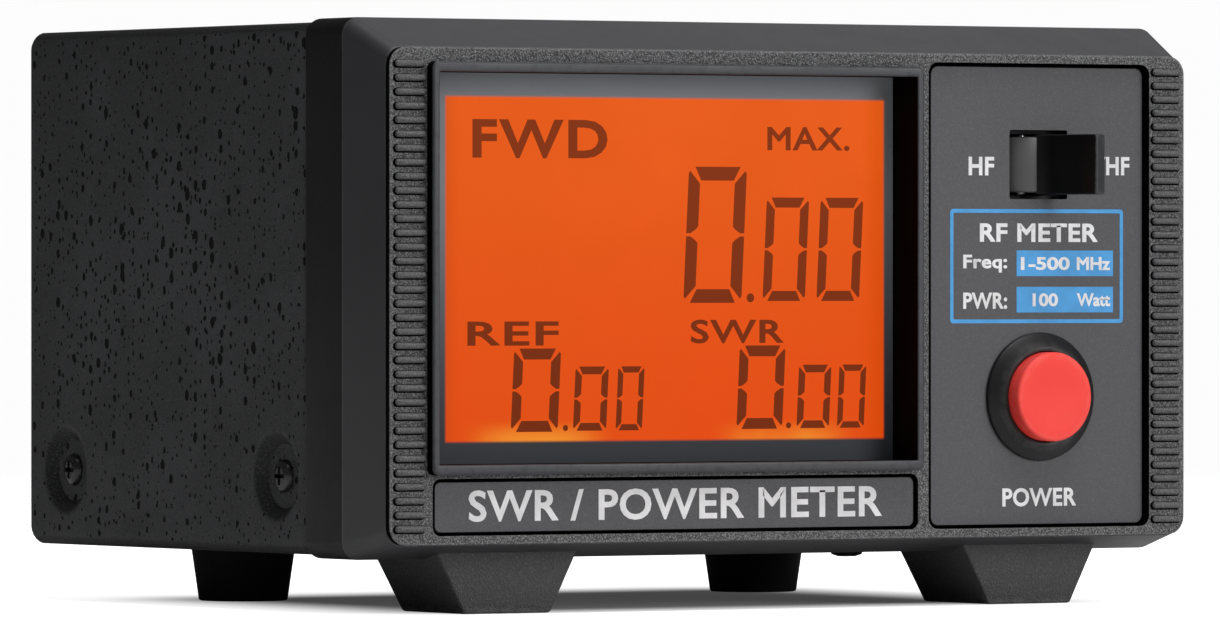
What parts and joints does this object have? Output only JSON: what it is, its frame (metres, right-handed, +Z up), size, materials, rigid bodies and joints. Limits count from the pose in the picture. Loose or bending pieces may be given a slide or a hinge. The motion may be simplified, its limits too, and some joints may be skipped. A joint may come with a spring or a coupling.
{
  "type": "swr meter",
  "caption": "Bench SWR and power meter with a backlit numeric display, latching power button, two-way band lever and rear coaxial sockets.",
  "frame": {"origin": "on the ground, under the middle of the instrument's overall box", "axes": "+X to the right seen from the front, +Y from the display to the rear sockets, +Z up"},
  "size_m": [0.134, 0.1174, 0.0813],
  "materials": {
    "bezel_plastic": "satin black moulding with a sparkling grain on its face",
    "sleeve_paint": "dark grey hammered coat with black pits",
    "zinc_sheet": "zinc-plated sheet steel",
    "panel_paint": "fine-textured black paint",
    "plate_paint": "satin grey paint",
    "frame_plastic": "satin dark grey",
    "lcd_film": "backlit amber film in a grey border",
    "lcd_glass": "clear",
    "grey_film": "grey film",
    "clear_plastic": "clear acrylic",
    "white_plastic": "matt white",
    "amber_lamp": "amber resin",
    "strip_rubber": "layered silicone",
    "circuit_board": "green solder mask",
    "chip_black": "matt black epoxy",
    "zinc_screw": "bright zinc",
    "black_screw": "black oxide",
    "ring_plastic": "satin black",
    "button_red": "satin red",
    "spring_steel": "drawn steel wire",
    "switch_black": "matt black",
    "lever_plastic": "fine matt black",
    "tinned_brass": "tinned",
    "capacitor_sleeve": "blue sleeve",
    "brass": "turned",
    "ribbon_grey": "grey",
    "lead_red": "red",
    "tin_plate": "tin plate",
    "socket_nickel": "bright nickel",
    "insulator_white": "white",
    "contact_gilt": "gilt brass",
    "copper": "bare copper",
    "ferrite": "sintered ferrite",
    "inlet_plastic": "black",
    "foot_plastic": "grained black moulding",
    "foot_rubber": "matt black rubber"
  },
  "bodies": {
    "root": {"front_bezel": "bezel_plastic", "sleeve_cover": "sleeve_paint", "chassis_tray": "zinc_sheet", "rear_panel": "panel_paint", "control_plate": "plate_paint", "title_plate": "plate_paint", "display_frame": "frame_plastic", "lcd_front_film": "lcd_film", "lcd_front_glass": "lcd_glass", "lcd_rear_glass": "lcd_glass", "lcd_rear_film": "grey_film", "light_guide": "clear_plastic", "reflector_sheet": "white_plastic", "backlight_lamps": "amber_lamp", "lcd_holder": "white_plastic", "contact_strips": "strip_rubber", "display_board": "circuit_board", "display_driver": "chip_black", "display_screws": "zinc_screw", "power_ring": "ring_plastic", "button_spring": "spring_steel", "power_switch_body": "switch_black", "power_ring_nut": "switch_black", "power_terminals": "tinned_brass", "band_switch_housing": "switch_black", "lever_pin": "spring_steel", "band_terminals": "tinned_brass", "control_board": "circuit_board", "main_board": "circuit_board", "main_processor": "chip_black", "filter_capacitors": "capacitor_sleeve", "voltage_regulator": "chip_black", "board_standoffs": "brass", "board_screws": "zinc_screw", "ribbon_cable": "ribbon_grey", "power_leads": "lead_red", "hf_sensor_box": "tin_plate", "hf_sensor_lid": "tin_plate", "vhf_sensor_box": "tin_plate", "vhf_sensor_lid": "tin_plate", "hf_tx_socket": "socket_nickel", "hf_antenna_socket": "socket_nickel", "vhf_tx_socket": "socket_nickel", "vhf_antenna_socket": "socket_nickel", "socket_insulators": "insulator_white", "socket_contacts": "contact_gilt", "socket_screws": "zinc_screw", "hf_through_line": "copper", "hf_current_core": "ferrite", "vhf_coupled_line": "copper", "power_inlet": "inlet_plastic", "inlet_nut": "zinc_screw", "side_screws": "black_screw", "case_screws": "black_screw", "left_front_foot": "foot_plastic", "right_front_foot": "foot_plastic", "rear_feet": "foot_rubber", "foot_screws": "zinc_screw"},
    "power_button_body": {"power_button": "button_red"},
    "band_lever_body": {"band_lever": "lever_plastic"}
  },
  "joints": [
    {"name": "power_press", "type": "slide", "parent": "root", "child": "power_button_body", "axis": [0, 1, 0], "range_m": [0, 0.0018], "stiffness_N_per_m": 900},
    {"name": "band_turn", "type": "hinge", "parent": "root", "child": "band_lever_body", "pos_m": [0.0413, -0.04505, 0.06175], "axis": [0, 0, 1], "range_deg": [-40, 0]}
  ]
}
